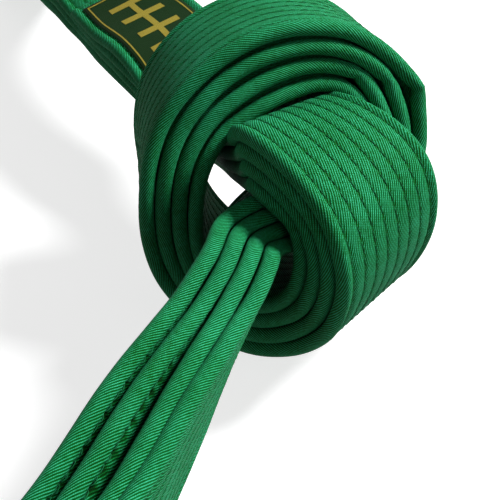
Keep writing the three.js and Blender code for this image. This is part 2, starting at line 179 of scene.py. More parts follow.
def even_frames():
    """Point, run, across and outward directions at even steps, with their turning ironed smooth."""
    even = np.append(np.arange(HANK_START, HANK_END, EVEN_STEP), HANK_END)

    def at_even(values):
        return np.stack([np.interp(even, hank_distance, values[:, c]) for c in range(3)], axis=1)

    def ironed(values, width):
        reach = int(3 * width / EVEN_STEP)
        weights = np.exp(-0.5 * (np.arange(-reach, reach + 1) * EVEN_STEP / width) ** 2)
        padded = np.pad(values, ((reach, reach), (0, 0)), mode="edge")
        weights /= weights.sum()
        return np.stack([np.convolve(padded[:, c], weights, mode="valid") for c in range(3)], axis=1)

    points = at_even(hank_points)
    run = unit(np.gradient(points, axis=0))
    side = unit(ironed(at_even(hank_sides), ACROSS_IRONED))
    outward = unit(ironed(unit(np.cross(run, side)), OUTWARD_IRONED))
    return even, points, run, side, outward


EVEN, *EVEN_VALUES = even_frames()


def hank_frames(distance):
    """Point, run, across and outward directions of the hank at each distance along it."""
    distance = np.asarray(distance, float)
    point, run, side, outward = (
        np.stack([np.interp(distance, EVEN, values[:, c]) for c in range(3)], axis=1)
        for values in EVEN_VALUES)
    return point, unit(run), unit(side), unit(outward)


# Stretches where the layers part at their near edges: the station of the widest gap, how far
# it reaches either way, and for each layer, outermost first, how far it swings out there and
# how much its padding spreads toward the outer and the inner side to fill the gap.
OPENINGS = (
    {"middle": 3.3, "reach": 84 * MM, "swings": (2.9, 4.0, 1.0, -0.5),
     "spreads": ((0, 0), (0, 0.8), (0.8, 0.3), (0.3, 0))},
    {"middle": 14.0, "reach": 50 * MM, "swings": (-0.4, -1.7, -3.2, -5.0),
     "spreads": ((0, 0.2), (0.2, 0.2), (0.2, 0.2), (0.2, 0))},
    {"middle": 28.6, "reach": 75 * MM, "swings": (0, -1.4, -3.0, -5.0),
     "spreads": ((0, 0.3), (0.3, 0.3), (0.3, 0.3), (0.3, 0))},
)
NEAR_TAIL_OPENING = OPENINGS[0]


def opening_share(distance, opening):
    """1 where an opening is widest, fading to 0 at its reach."""
    centre = np.interp(opening["middle"], np.arange(len(STATION)), STATION)
    away = np.minimum(1, np.abs(distance - centre) / opening["reach"])
    return 0.5 + 0.5 * np.cos(math.pi * away)


def parted(distance, layer, across):
    """How far a layer swings out and how much each of its sides spreads: rows of distance by
    columns across."""
    toward_near_edge = 0.5 + across / BELT_WIDTH
    swing, outer_spread, inner_spread = (np.zeros_like(toward_near_edge) for _ in range(3))
    for opening in OPENINGS:
        share = opening_share(distance, opening)[:, None] * toward_near_edge
        swing = swing + opening["swings"][layer] * MM * share
        outer_spread = outer_spread + opening["spreads"][layer][0] * share
        inner_spread = inner_spread + opening["spreads"][layer][1] * share
    return swing, outer_spread, inner_spread


# ---------------------------------------------------------------------------
# The cover. Green cotton twill, folded round the padding into a flat tube and
# quilted flat by eight lengthwise rows of lockstitch. The rows pinch the padding
# into lanes, and the rolled edges outside the last rows stay plump.
# ---------------------------------------------------------------------------

ROW_COUNT = 8
ROW_MARGIN = 4 * MM
STITCH_LENGTH = 3.1 * MM
ROW_BEAT_STEP = 1.7
ROW_PLACES = np.linspace(-BELT_WIDTH / 2 + ROW_MARGIN, BELT_WIDTH / 2 - ROW_MARGIN, ROW_COUNT)
EDGE_RADIUS = 2.35 * MM
LANE_HALF = 2.1 * MM
FACE_EDGE = BELT_WIDTH / 2 - EDGE_RADIUS
FACE_COLUMNS = 33
ROW_CLEARANCE = 1.2 * MM
ROW_COLUMN_STEPS = (-1.0, -0.65, -0.32, 0, 0.32, 0.65, 1.0)
EDGE_ROUND_POINTS = 13

# How deep a row pulls the cloth in, how wide, and how much of that between two needle holes.
EDGE_PINCH = 0.62 * MM
LANE_PINCH = 0.30 * MM
PINCH_WIDTH = 0.62 * MM
EDGE_PINCH_SPREAD = 1.5
STEADY_PULL = 0.72
BEATING_PULL = 0.28

# The small tucks in the cloth beside each stitch.
TUCK_HEIGHT = 0.06 * MM
TUCK_WIDTH = 1.9 * MM
TUCK_LAG = 0.8


def drift(distance, seed, wavelength, strength):
    """A slow, smooth wander along the belt, different for every seed."""
    chance = np.random.RandomState(seed)
    total = np.zeros_like(distance)
    for octave in range(4):
        length = wavelength / (1 + octave * 0.8) * chance.uniform(0.8, 1.25)
        total += np.sin(2 * math.pi * (distance / length + chance.rand())) / (1 + octave)
    return strength * total / 2


def face_across():
    """Places across one face, closer together beside the stitched rows."""
    places = set(np.round(np.linspace(-FACE_EDGE, FACE_EDGE, FACE_COLUMNS), 6))
    for row in ROW_PLACES:
        places = {place for place in places if abs(place - row) > ROW_CLEARANCE}
        places |= {round(row + step * MM, 6) for step in ROW_COLUMN_STEPS}
    return np.array(sorted(places))


FACE_PLACES = face_across()
EDGE_TURNS = np.radians(np.linspace(90, -90, EDGE_ROUND_POINTS))[1:-1]


def stitch_phase(distance, number, seed):
    """The stitch's beat along a row: 0 where the needle goes down."""
    return 2 * math.pi * distance / STITCH_LENGTH + number * ROW_BEAT_STEP + seed


def face_height(across, distance, seed):
    """Height of the quilted face over the layer's middle, rows of distance by columns across."""
    across = across[None, :]
    distance = distance[:, None]
    plump = np.clip((np.abs(across) - ROW_PLACES[-1]) / (FACE_EDGE - ROW_PLACES[-1]), 0, 1)
    height = LANE_HALF + (EDGE_RADIUS - LANE_HALF) * plump
    for number, row in enumerate(ROW_PLACES):
        outer = number in (0, ROW_COUNT - 1)
        depth = EDGE_PINCH if outer else LANE_PINCH
        phase = stitch_phase(distance, number, seed)
        pull = STEADY_PULL + BEATING_PULL * np.cos(phase)
        reach = PINCH_WIDTH * (EDGE_PINCH_SPREAD if outer else 1.0)
        height = height - depth * pull * np.exp(-((across - row) / reach) ** 2)
        beside_row = np.exp(-((across - row) / TUCK_WIDTH) ** 2)
        height = height + TUCK_HEIGHT * np.sin(phase + TUCK_LAG) * beside_row
    return height


# Pits in the cloth beside the near edge's row, where the near tail's layers part, with painted shadow
# in them. Each visible face has its own strength for both the pits' depth and their painted shadow,
# outermost layer first; the hidden faces share one.
PIT_STRENGTH = {1: 0.1, 2: 0.5, 3: 2.2, 4: 1.3}
HIDDEN_PIT_STRENGTH = 0.4
PIT_DEPTH = 0.6 * MM
PIT_OFFSET = 1.1 * MM
PIT_PITCH = 4.6 * MM
PIT_REACH = 2.3 * MM
PIT_SLANT = 1.6 * MM
PIT_UNEVENNESS = 0.2
PIT_UNEVEN_LENGTH = 6 * MM
# How strong the painted shadow in the pits is.
PIT_SHADE = 3
VALLEY_GAIN = 1.7

# Short wrinkles that run out of the pits.
WRINKLE_HEIGHT = 0.15 * MM
WRINKLE_SLANT = 1.1 * MM
WRINKLE_OFFSET = 2.2 * MM
WRINKLE_REACH = 1.3 * MM


def valley_share(distance):
    """1 where the near tail's valleys stand open, 0 away from them."""
    return np.minimum(1, VALLEY_GAIN * opening_share(distance, NEAR_TAIL_OPENING))[:, None]


def valley_pits(across, distance, seed):
    """Above 0 in the pits, rows of distance by columns across."""
    off = across[None, :] - ROW_PLACES[-1] - PIT_OFFSET
    slow_wave = np.sin(distance[:, None] / PIT_UNEVEN_LENGTH + 2 * seed)
    uneven = 1 - PIT_UNEVENNESS + PIT_UNEVENNESS * slow_wave
    strength = PIT_STRENGTH.get(seed, HIDDEN_PIT_STRENGTH) * valley_share(distance) * uneven
    slanted = 2 * math.pi * distance[:, None] / PIT_PITCH + seed + off / PIT_SLANT
    return strength * (0.5 + 0.5 * np.cos(slanted)) ** 2 * np.exp(-(off / PIT_REACH) ** 2)


def valley_pucker(across, distance, seed):
    """Height change of the pits and of the wrinkles beside them."""
    off = across[None, :] - ROW_PLACES[-1]
    phase = stitch_phase(distance, ROW_COUNT - 1, seed)[:, None]
    beside_pits = np.exp(-((np.abs(off) - WRINKLE_OFFSET) / WRINKLE_REACH) ** 2)
    wrinkles = WRINKLE_HEIGHT * np.cos(phase + off / WRINKLE_SLANT) * beside_pits
    return valley_share(distance) * wrinkles - PIT_DEPTH * valley_pits(across, distance, seed)


# Painted shade along the stitched creases: how wide it is, how much of it holds steady and how much
# beats with the stitches.
CREASE_SHADE_WIDTH = 0.45 * MM
STEADY_CREASE_SHADE = 0.65
BEATING_CREASE_SHADE = 0.35


def painted_crease_shade(across, distance, seed):
    """Painted shade: 1 in the bottom of the stitched creases, more in the pits, 0 on the open cloth."""
    tone = np.zeros((len(distance), len(across)))
    for number, row in enumerate(ROW_PLACES):
        beat = STEADY_CREASE_SHADE + BEATING_CREASE_SHADE * np.cos(stitch_phase(distance, number, seed))
        close = np.exp(-((across - row) / CREASE_SHADE_WIDTH) ** 2)
        tone = np.maximum(tone, beat[:, None] * close[None])
    return np.maximum(tone, PIT_SHADE * valley_pits(across, distance, seed))


# A layer's back face has its own seed, so that the two faces don't match.
BACK_SEED = 5


def layer_section(distance, seed):
    """Across, height and painted crease shade round the belt, rows of distance by columns round it."""
    rows = len(distance)
    back = seed + BACK_SEED
    top = face_height(FACE_PLACES, distance, seed) + valley_pucker(FACE_PLACES, distance, seed)
    bottom = face_height(FACE_PLACES, distance, back) + valley_pucker(FACE_PLACES, distance, back)
    near_across = FACE_EDGE + EDGE_RADIUS * np.cos(EDGE_TURNS)
    edge_height = EDGE_RADIUS * np.sin(EDGE_TURNS)
    across = np.concatenate([FACE_PLACES, near_across, FACE_PLACES[::-1], -near_across])
    height = np.hstack([
        top,
        np.repeat(edge_height[None], rows, 0),
        -bottom[:, ::-1],
        np.repeat(-edge_height[None], rows, 0),
    ])
    plain = np.zeros((rows, len(EDGE_TURNS)))
    tone = np.hstack([
        painted_crease_shade(FACE_PLACES, distance, seed),
        plain,
        painted_crease_shade(FACE_PLACES, distance, back)[:, ::-1],
        plain,
    ])
    return np.repeat(across[None], rows, 0), height, tone


def signed_volume(grid):
    """Volume inside a grid of points taken as a tube, below 0 if its faces look inward."""
    corner = grid - grid.mean(axis=(0, 1))
    lap = np.roll(corner, -1, axis=1)
    first, second, third, fourth = corner[:-1], lap[:-1], lap[1:], corner[1:]
    return (np.cross(first, second) * third + np.cross(first, third) * fourth).sum() / 6


def skin_mesh(name, grid, along, around, tone=None):
    """A closed tube from a grid of points, rows along the belt by columns round it, facing
    outward. Its map gives metres along the belt and round it, and its tone is the painted shade of the
    creases and pits."""
    rows, columns = grid.shape[:2]
    points = grid.reshape(-1, 3)
    i = np.arange(rows - 1)[:, None] * columns
    j = np.arange(columns)[None, :]
    step = (j + 1) % columns
    quads = np.stack([i + j, i + step, i + columns + step, i + columns + j], axis=-1).reshape(-1, 4)
    faces = quads.tolist()
    faces.append(list(range(columns))[::-1])
    faces.append([(rows - 1) * columns + k for k in range(columns)])
    mesh = bpy.data.meshes.new(name)
    mesh.from_pydata(points.tolist(), [], faces)
    cloth_map = mesh.uv_layers.new(name="Cloth")
    lap = np.append(around, around[-1] + (around[1] - around[0]))
    corner_u = np.stack([along[:-1], along[:-1], along[1:], along[1:]], axis=1)
    corner_u = np.repeat(corner_u[:, None, :], columns, axis=1).reshape(-1)
    corner_v = np.stack([lap[:-1], lap[1:], lap[1:], lap[:-1]], axis=1)
    corner_v = np.repeat(corner_v[None], rows - 1, axis=0).reshape(-1)
    uv = np.zeros((len(cloth_map.data), 2))
    uv[:len(corner_u), 0] = corner_u
    uv[:len(corner_v), 1] = corner_v
    cloth_map.data.foreach_set("uv", uv.reshape(-1))
    # The crease attribute holds the painted shade of the stitched creases and pits.
    crease = mesh.attributes.new("crease", "FLOAT", "POINT")
    if tone is not None:
        crease.data.foreach_set("value", tone.reshape(-1))
    if signed_volume(grid) < 0:
        mesh.flip_normals()
    mesh.shade_smooth()
    mesh.validate()
    piece = bpy.data.objects.new(name, mesh)
    bpy.context.collection.objects.link(piece)
    return piece


def around_belt(across, height):
    """Distance round the belt of each column of a section."""
    steps = np.hypot(np.diff(across), np.diff(height))
    return np.r_[0, np.cumsum(steps)]


def node_maker(material):
    """Short helpers that add nodes to a material and join them."""
    nodes, links = material.node_tree.nodes, material.node_tree.links

    def link(value, socket):
        if isinstance(value, (int, float, tuple)):
            socket.default_value = value
        else:
            links.new(value, socket)

    def calc(operation, *values):
        node = nodes.new("ShaderNodeMath")
        node.operation = operation
        for value, socket in zip(values, node.inputs):
            link(value, socket)
        return node.outputs[0]

    def blend(share, first, second):
        node = nodes.new("ShaderNodeMix")
        node.data_type = "RGBA"
        link(share, node.inputs[0])
        link(first, node.inputs[6])
        link(second, node.inputs[7])
        return node.outputs[2]

    def noise(where, scale, detail=2.0):
        node = nodes.new("ShaderNodeTexNoise")
        node.inputs["Scale"].default_value = scale
        node.inputs["Detail"].default_value = detail
        links.new(where, node.inputs["Vector"])
        return node.outputs["Fac"]

    return nodes, links, calc, blend, noise


def twill_material(name, deep, mid, bright):
    """Cotton twill: slanting ridges of yarn, each crossed by its own twist, with painted highlight on
    the ridge tops, painted shade between them and painted shade in the stitched creases.
    """
    ridge_pitch = 0.62 * MM
    twist_pitch = 0.45 * MM
    ridge_height = 0.11 * MM
    slant = math.radians(32)
    # Near-black painted shadow for the bottoms of the pits.
    pit_shadow_colour = (0.0001, 0.010, 0.001, 1)
    material = bpy.data.materials.new(name)
    material.use_nodes = True
    nodes, links, calc, blend, noise = node_maker(material)
    shader = nodes["Principled BSDF"]
    cloth = nodes.new("ShaderNodeUVMap")
    cloth.uv_map = "Cloth"
    split = nodes.new("ShaderNodeSeparateXYZ")
    links.new(cloth.outputs[0], split.inputs[0])
    along, around = split.outputs[0], split.outputs[1]
    spot = nodes.new("ShaderNodeTexCoord").outputs["Object"]
    crease = nodes.new("ShaderNodeAttribute")
    crease.attribute_name = "crease"

    def wave(turns):
        return calc("MULTIPLY_ADD", calc("SINE", calc("MULTIPLY", turns, 2 * math.pi)), 0.5, 0.5)

    waver = calc("MULTIPLY", calc("SUBTRACT", noise(spot, 260.0), 0.5), 0.5)
    over = calc("ADD", calc("MULTIPLY", along, math.sin(slant) / ridge_pitch),
                calc("MULTIPLY", around, math.cos(slant) / ridge_pitch))
    ridge_turns = calc("ADD", over, waver)
    ridge = wave(ridge_turns)
    beside = calc("SUBTRACT", calc("MULTIPLY", along, math.cos(slant) / twist_pitch),
                  calc("MULTIPLY", around, math.sin(slant) / twist_pitch))
    twist = wave(calc("ADD", beside, calc("MULTIPLY", calc("FLOOR", ridge_turns), 0.37)))
    fuzz = noise(spot, 2600.0, 3.0)
    fleck = noise(spot, 800.0, 2.0)
    cloud = noise(spot, 55.0, 3.0)

    # The bump's height: round ridges, their twist and a little fuzz.
    height = calc("MULTIPLY", calc("POWER", ridge, 0.7), 0.75)
    height = calc("ADD", height, calc("MULTIPLY", twist, 0.18))
    height = calc("ADD", height, calc("MULTIPLY", fuzz, 0.25))

    # The tone: painted highlight on the ridges and their twist with painted shade between them, uneven
    # from yarn to yarn, and painted shade in the creases.
    tone = calc("MULTIPLY", calc("POWER", ridge, 1.4), 0.55)
    tone = calc("ADD", tone, calc("MULTIPLY", fuzz, 0.28))
    tone = calc("ADD", tone, calc("MULTIPLY", calc("SUBTRACT", cloud, 0.5), 0.35))
    tone = calc("ADD", tone, calc("MULTIPLY", calc("SUBTRACT", fleck, 0.5), 0.30))
    tone = calc("ADD", tone, calc("MULTIPLY", calc("MULTIPLY", twist, ridge), 0.16))
    tone = calc("SUBTRACT", tone, calc("MULTIPLY", crease.outputs["Fac"], 0.35))
    ramp = nodes.new("ShaderNodeValToRGB")
    links.new(tone, ramp.inputs[0])
    ramp.color_ramp.elements[0].position = 0.05
    ramp.color_ramp.elements[0].color = (*deep, 1)
    ramp.color_ramp.elements[1].position = 0.95
    ramp.color_ramp.elements[1].color = (*bright, 1)
    middle = ramp.color_ramp.elements.new(0.5)
    middle.color = (*mid, 1)
    # Painted shadow: where the painted shade runs deep, in the pits, the colour turns near-black.
    pit_shadow_share = calc("MULTIPLY_ADD", crease.outputs["Fac"], 0.55, -0.50)
    pit_shadow_share.node.use_clamp = True
    links.new(blend(pit_shadow_share, ramp.outputs[0], pit_shadow_colour), shader.inputs["Base Color"])
    links.new(calc("MULTIPLY_ADD", ridge, -0.12, 0.85), shader.inputs["Roughness"])
    shader.inputs["Specular IOR Level"].default_value = 0.06
    shader.inputs["Sheen Weight"].default_value = 0.06
    shader.inputs["Sheen Roughness"].default_value = 0.45
    shader.inputs["Sheen Tint"].default_value = (0.1, 0.85, 0.5, 1)
    bump = nodes.new("ShaderNodeBump")
    bump.inputs["Strength"].default_value = 0.9
    bump.inputs["Distance"].default_value = ridge_height
    links.new(height, bump.inputs["Height"])
    links.new(bump.outputs[0], shader.inputs["Normal"])
    return material


TWILL = twill_material("green_twill", deep=(0.0001, 0.026, 0.001), mid=(0.0010, 0.145, 0.022),
                       bright=(0.045, 0.450, 0.260))

# The layers, outermost first. The belt's two free ends stop short of the hank's end.
LAYER_OFFSETS = [((LAYERS - 1) / 2 - i) * LAYER_PITCH for i in range(LAYERS)]
LABELLED_END = HANK_END - 222 * MM
PLAIN_END = HANK_END - 14 * MM
LAYER_ENDS = [LABELLED_END, PLAIN_END, HANK_END, HANK_END]
HEMS = ("hem_labelled_end", "hem_plain_end")
VIEWED_FROM, VIEWED_TO = STATION[2], STATION[30]
FINE_STEP, COARSE_STEP = 1.15 * MM, 2.6 * MM


def along_layer(start, end):
    """Distances of the cross-sections: close together where the belt is knotted and seen."""
    places = [start]
    while places[-1] < end - 0.4 * FINE_STEP:
        here = places[-1]
        places.append(here + (FINE_STEP if VIEWED_FROM < here < VIEWED_TO else COARSE_STEP))
    places[-1] = end
    return np.array(places)


# Where the near edges of the outer layers crease sharply at the top loop's right: the layer,
# the station, and how far the crease stands out.
CREASES = ((0, 11.72, 3.4 * MM), (1, 11.94, 1.2 * MM), (2, 12.25, 1.0 * MM))
CREASE_SLOPE = 4.5 * MM
CREASE_PINCH = 0.3
CREASE_PINCH_LENGTH = 1.3 * MM


def near_crease(distance, across, layer):
    """How far a sharp crease pushes the near edge out, and how much it flattens it."""
    push = np.zeros_like(across)
    pinch = np.zeros_like(across)
    toward_near_edge = np.clip(across / (BELT_WIDTH / 2), 0, 1) ** 2
    for creased, station, reach in CREASES:
        if creased == layer:
            away = np.abs(distance - np.interp(station, np.arange(len(STATION)), STATION))[:, None]
            push = push + reach * np.exp(-away / CREASE_SLOPE) * toward_near_edge
            sharp = np.exp(-(away / CREASE_PINCH_LENGTH) ** 2)
            pinch = pinch + CREASE_PINCH * sharp * toward_near_edge
    return push, pinch


# Each layer wanders a little sideways, and outward where it is clear of the floor.
CLEAR_OF_FLOOR = 10 * MM
SPREAD_FADE_START, SPREAD_FADE_LENGTH = 1.2 * MM, 3 * MM


def wander(distance, layer):
    """How far a layer strays sideways and outward along its length."""
    sideways = drift(distance, layer + 1, 70 * MM, 0.45 * MM)
    outward = drift(distance, layer + 12, 55 * MM, 0.16 * MM)
    return sideways, outward


def layer_grid(layer, distance, across, height):
    """Points of one layer: its section placed on the hank, with a little life of its own."""
    point, _, side, outward = hank_frames(distance)
    shift, lift = wander(distance, layer)
    off_floor = np.clip((point[:, 2] - HANK_HALF) / CLEAR_OF_FLOOR, 0, 1)
    push, pinch = near_crease(distance, across, layer)
    swing, outer_spread, inner_spread = parted(distance, layer, across)
    spread = np.where(height > 0, outer_spread, inner_spread)
    inside_row = np.clip((ROW_PLACES[-1] - SPREAD_FADE_START - across) / SPREAD_FADE_LENGTH, 0, 1)
    sideways = across + shift[:, None]
    filled = height * (1 + spread * inside_row) * (1 - pinch)
    out = LAYER_OFFSETS[layer] + filled + (off_floor * lift)[:, None] + swing + push
    return point[:, None] + side[:, None] * sideways[..., None] + outward[:, None] * out[..., None]


END_STEPS = np.array([2.2, 1.6, 1.0, 0.5, 0.2, 0]) * MM
END_STEPS_ROOM = 2.4 * MM
THINNEST_END = 0.12


def close_end(height, distance, end):
    """Rounds the section down to a folded edge over the last stretch before a free end."""
    left = np.clip((end - distance) / END_STEPS[0], 0, 1)
    return height * np.sqrt(1 - (1 - left) ** 2)[:, None].clip(THINNEST_END)


def cover_layer(number):
    """One stacked length of the cover, its free end turned in where it has one."""
    end = LAYER_ENDS[number]
    distance = along_layer(HANK_START, end)
    free = number < len(HEMS)
    if free:
        distance = np.concatenate([distance[distance < end - END_STEPS_ROOM], end - END_STEPS])
    across, height, tone = layer_section(distance, seed=number + 1)
    if free:
        height = close_end(height, distance, end)
    grid = layer_grid(number, distance, across, height)
    around = around_belt(across[0], height[0])
    return skin_mesh(f"cover_run_{number + 1}", grid, distance, around, tone=tone)


for number in range(LAYERS):
    cover = cover_layer(number)
    cover.data.materials.append(TWILL)
    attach(cover, "root")
    nodes_shown = [f"cover_run_{number + 1}"]
    if number < len(HEMS):
        nodes_shown.append(HEMS[number])
    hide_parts(*nodes_shown)

# The belt's turns, where it doubles back on itself at the ends of the hank: where on the hank,
# the two layers joined, which way the turn bulges and how many sections it has.
FOLDS = {
    "outer": (HANK_START, LAYER_OFFSETS[0], LAYER_OFFSETS[3], -1, 25),
    "inner": (HANK_START, LAYER_OFFSETS[1], LAYER_OFFSETS[2], -1, 15),
    "centre": (HANK_END, LAYER_OFFSETS[2], LAYER_OFFSETS[3], 1, 15),
}
FOLD_SEED = 9
FOLD_GAP = 0.15 * MM


def fold_grid(place, start, finish, sign, across, height):
    """Points of a turn: the section carried half round from one layer to another."""
    point, run, side, outward = (v[0] for v in hank_frames([place]))
    radius = (start - finish) / 2
    centre = point + outward * (start + finish) / 2
    turn = np.linspace(0, math.pi, len(height))[:, None, None]
    direction = outward * np.cos(turn) + run * sign * np.sin(turn)
    return centre + direction * (radius + height[..., None]) + side * across[..., None]


for name, (place, start, finish, sign, sections) in FOLDS.items():
    distance = np.linspace(0, math.pi * (start - finish) / 2, sections)
    across, height, tone = layer_section(distance, seed=FOLD_SEED)
    height = np.maximum(height, -(start - finish) / 2 + FOLD_GAP)
    grid = fold_grid(place, start, finish, sign, across, height)
    around = around_belt(across[0], height[0])
    turn = skin_mesh(f"cover_fold_{name}", grid, distance, around, tone=tone)
    turn.data.materials.append(TWILL)
    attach(turn, "root")
    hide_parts(f"cover_fold_{name}")

# ---------------------------------------------------------------------------
# The padding. Undyed cotton plies laid inside the cover before it is quilted.
# They show nowhere, but they fill every run and turn.
# ---------------------------------------------------------------------------

PADDING_HALF_WIDTH = BELT_WIDTH / 2 - 2.4 * MM
PADDING_HALF = 1.1 * MM
PADDING_STEP = 2.5 * MM
PADDING_SHORT_OF_END = 6.3 * MM
PADDING_FOLD_SECTIONS = 13


def padding_material():
    """Undyed cotton wadding, mottled and rough."""
    material = bpy.data.materials.new("cotton_padding")
    material.use_nodes = True
    nodes, links, calc, blend, noise = node_maker(material)
    spot = nodes.new("ShaderNodeTexCoord").outputs["Object"]
    shader = nodes["Principled BSDF"]
    cotton = blend(noise(spot, 400.0, 4.0), (0.55, 0.50, 0.40, 1), (0.85, 0.82, 0.74, 1))
    links.new(cotton, shader.inputs["Base Color"])
    shader.inputs["Roughness"].default_value = 0.95
    bump = nodes.new("ShaderNodeBump")
    bump.inputs["Distance"].default_value = 0.2 * MM
    links.new(noise(spot, 1500.0, 3.0), bump.inputs["Height"])
    links.new(bump.outputs[0], shader.inputs["Normal"])
    return material


PADDING = padding_material()

# The padding's section: a flat pad with rounded edges.
padding_turns = np.radians(np.linspace(0, 360, 17))[:-1]
level, upright = np.cos(padding_turns), np.sin(padding_turns)
padding_across = PADDING_HALF_WIDTH * np.sign(level) * np.abs(level) ** 0.3
padding_height = PADDING_HALF * np.sign(upright) * np.abs(upright) ** 0.5


def padding_section(distance):
    """Across and height round the padding, rows of distance by columns round it."""
    across = np.repeat(-padding_across[None], len(distance), 0)
    height = np.repeat(padding_height[None], len(distance), 0)
    return across, height


def padding_piece(name, grid, distance):
    piece = skin_mesh(name, grid, distance, around_belt(padding_across, padding_height))
    piece.data.materials.append(PADDING)
    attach(piece, "root")
    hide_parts(name)


for number in range(LAYERS):
    distance = np.arange(HANK_START, LAYER_ENDS[number] - PADDING_SHORT_OF_END, PADDING_STEP)
    grid = layer_grid(number, distance, *padding_section(distance))
    padding_piece(f"padding_run_{number + 1}", grid, distance)

for name, (place, start, finish, sign, _) in FOLDS.items():
    distance = np.linspace(0, math.pi * (start - finish) / 2, PADDING_FOLD_SECTIONS)
    grid = fold_grid(place, start, finish, sign, *padding_section(distance))
    padding_piece(f"padding_fold_{name}", grid, distance)

# ---------------------------------------------------------------------------
# The quilting rows. Polyester lockstitch in a green a shade off the cloth. Each
# stitch lies in the groove it has pulled and dives through the padding at its ends.
# ---------------------------------------------------------------------------

THREAD_RADIUS = 0.13 * MM
THREAD_SIDES = 6
STITCH_SHOWN = 2.75 * MM
STITCH_SLANT = 0.12 * MM
STITCH_RISE = 0.06 * MM
STITCH_FOLLOWS_PUCKER = 0.45


def thread_material(name, colour, light):
    """Twisted sewing thread: fine slanting strands with a slight gloss."""
    material = bpy.data.materials.new(name)
    material.use_nodes = True
    nodes, links, calc, blend, noise = node_maker(material)
    spot = nodes.new("ShaderNodeTexCoord").outputs["Object"]
    strand = noise(spot, 5200.0, 2.0)
    shader = nodes["Principled BSDF"]
    links.new(blend(strand, (*colour, 1), (*light, 1)), shader.inputs["Base Color"])
    shader.inputs["Roughness"].default_value = 0.7
    shader.inputs["Specular IOR Level"].default_value = 0.1
    bump = nodes.new("ShaderNodeBump")
    bump.inputs["Distance"].default_value = 0.05 * MM
    links.new(strand, bump.inputs["Height"])
    links.new(bump.outputs[0], shader.inputs["Normal"])
    return material


THREAD = thread_material("green_thread", (0.001, 0.075, 0.015), (0.008, 0.190, 0.065))

# The rings of one stitch: place along its half length, rise in millimetres, share of full thickness.
STITCH_RINGS = np.array([(-1.0, -0.30, 0.35), (-0.8, 0.0, 0.8), (-0.35, 0.14, 1.0),
                         (0.35, 0.14, 1.0), (0.8, 0.0, 0.8), (1.0, -0.30, 0.35)])


def stitches(row, seed, sign, start, end):
    """Distances, across places and heights of the stitches of one row on one face of a layer."""
    first = math.ceil(start / STITCH_LENGTH)
    last = math.floor(end / STITCH_LENGTH)
    offbeat = stitch_phase(0, row, seed) / (2 * math.pi)
    centres = (np.arange(first, last) + 0.5 - offbeat) * STITCH_LENGTH
    distance = (centres[:, None] + STITCH_RINGS[None, :, 0] * STITCH_SHOWN / 2).reshape(-1)
    distance = np.clip(distance, start, end)
    place = np.array([ROW_PLACES[row]])
    pucker = valley_pucker(place, distance, seed)
    groove = (face_height(place, distance, seed) + STITCH_FOLLOWS_PUCKER * pucker)[:, 0]
    slant = np.tile(STITCH_RINGS[:, 0], len(centres)) * STITCH_SLANT
    sink = np.tile(STITCH_RINGS[:, 1], len(centres)) * MM
    thick = np.tile(STITCH_RINGS[:, 2], len(centres)) * THREAD_RADIUS
    turn = np.radians(np.arange(THREAD_SIDES) * 360 / THREAD_SIDES)
    across = ROW_PLACES[row] + slant[:, None] + thick[:, None] * np.cos(turn)[None]
    height = sign * (groove + sink + STITCH_RISE)[:, None] + thick[:, None] * np.sin(turn)[None]
    return distance, across, height, len(centres)


def thread_piece(name, batches):
    """Joins batches of stitches, each a grid of rings, into one piece."""
    points, faces, base = [], [], 0
    rings = len(STITCH_RINGS)
    corners = THREAD_SIDES
    for grid, count in batches:
        points.append(grid.reshape(-1, 3))
        for stitch in range(count):
            root = base + stitch * rings * corners
            for ring in range(rings - 1):
                a = root + ring * corners
                for k in range(corners):
                    n = (k + 1) % corners
                    faces.append([a + k, a + n, a + corners + n, a + corners + k])
            faces.append([root + k for k in range(corners)][::-1])
            faces.append([root + (rings - 1) * corners + k for k in range(corners)])
        base += count * rings * corners
    mesh = bpy.data.meshes.new(name)
    mesh.from_pydata(np.vstack(points).tolist(), [], faces)
    mesh.shade_smooth()
    piece = bpy.data.objects.new(name, mesh)
    bpy.context.collection.objects.link(piece)
    return piece


# The stretches of thread that are not pressed between two layers: the layer, its outer face (1)
# or inner face (-1), and from where to where. The near edge's row also shows in the open valleys.
OPEN_STRETCHES = [
    (0, 1, HANK_START, LABELLED_END - 5 * MM),
    (3, -1, HANK_START, HANK_END - 2 * MM),
    (1, 1, LABELLED_END, PLAIN_END - 3 * MM),
]
VALLEY_STRETCHES = [
    (layer, sign, STATION[1], STATION[7])
    for layer, sign in ((0, -1), (1, 1), (1, -1), (2, 1), (2, -1), (3, 1))
]

for row in range(ROW_COUNT):
    batches = []
    stretches = OPEN_STRETCHES + (VALLEY_STRETCHES if row == ROW_COUNT - 1 else [])
    for layer, sign, start, end in stretches:
        face_seed = layer + 1 if sign > 0 else layer + 1 + BACK_SEED
        distance, across, height, count = stitches(row, face_seed, sign, start, end)
        batches.append((layer_grid(layer, distance, across, height), count))
    thread = thread_piece(f"stitch_row_{row + 1}", batches)
    thread.data.materials.append(THREAD)
    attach(thread, "root")
    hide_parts(f"stitch_row_{row + 1}")

# ---------------------------------------------------------------------------
# The label. A near-black woven patch with a fold all round, sewn flat over the
# quilting close to the belt's end. Its border stitch and motif are gold thread.
# ---------------------------------------------------------------------------

LABEL_WIDTH = 31 * MM
LABEL_LENGTH = 62 * MM
LABEL_END = LABELLED_END - 4 * MM
LABEL_START = LABEL_END - LABEL_LENGTH
LABEL_FOOT = LAYER_OFFSETS[0] + LANE_HALF + 0.05 * MM
LABEL_THICK = 0.45 * MM
LABEL_EDGE_ROUNDING = 0.5 * MM


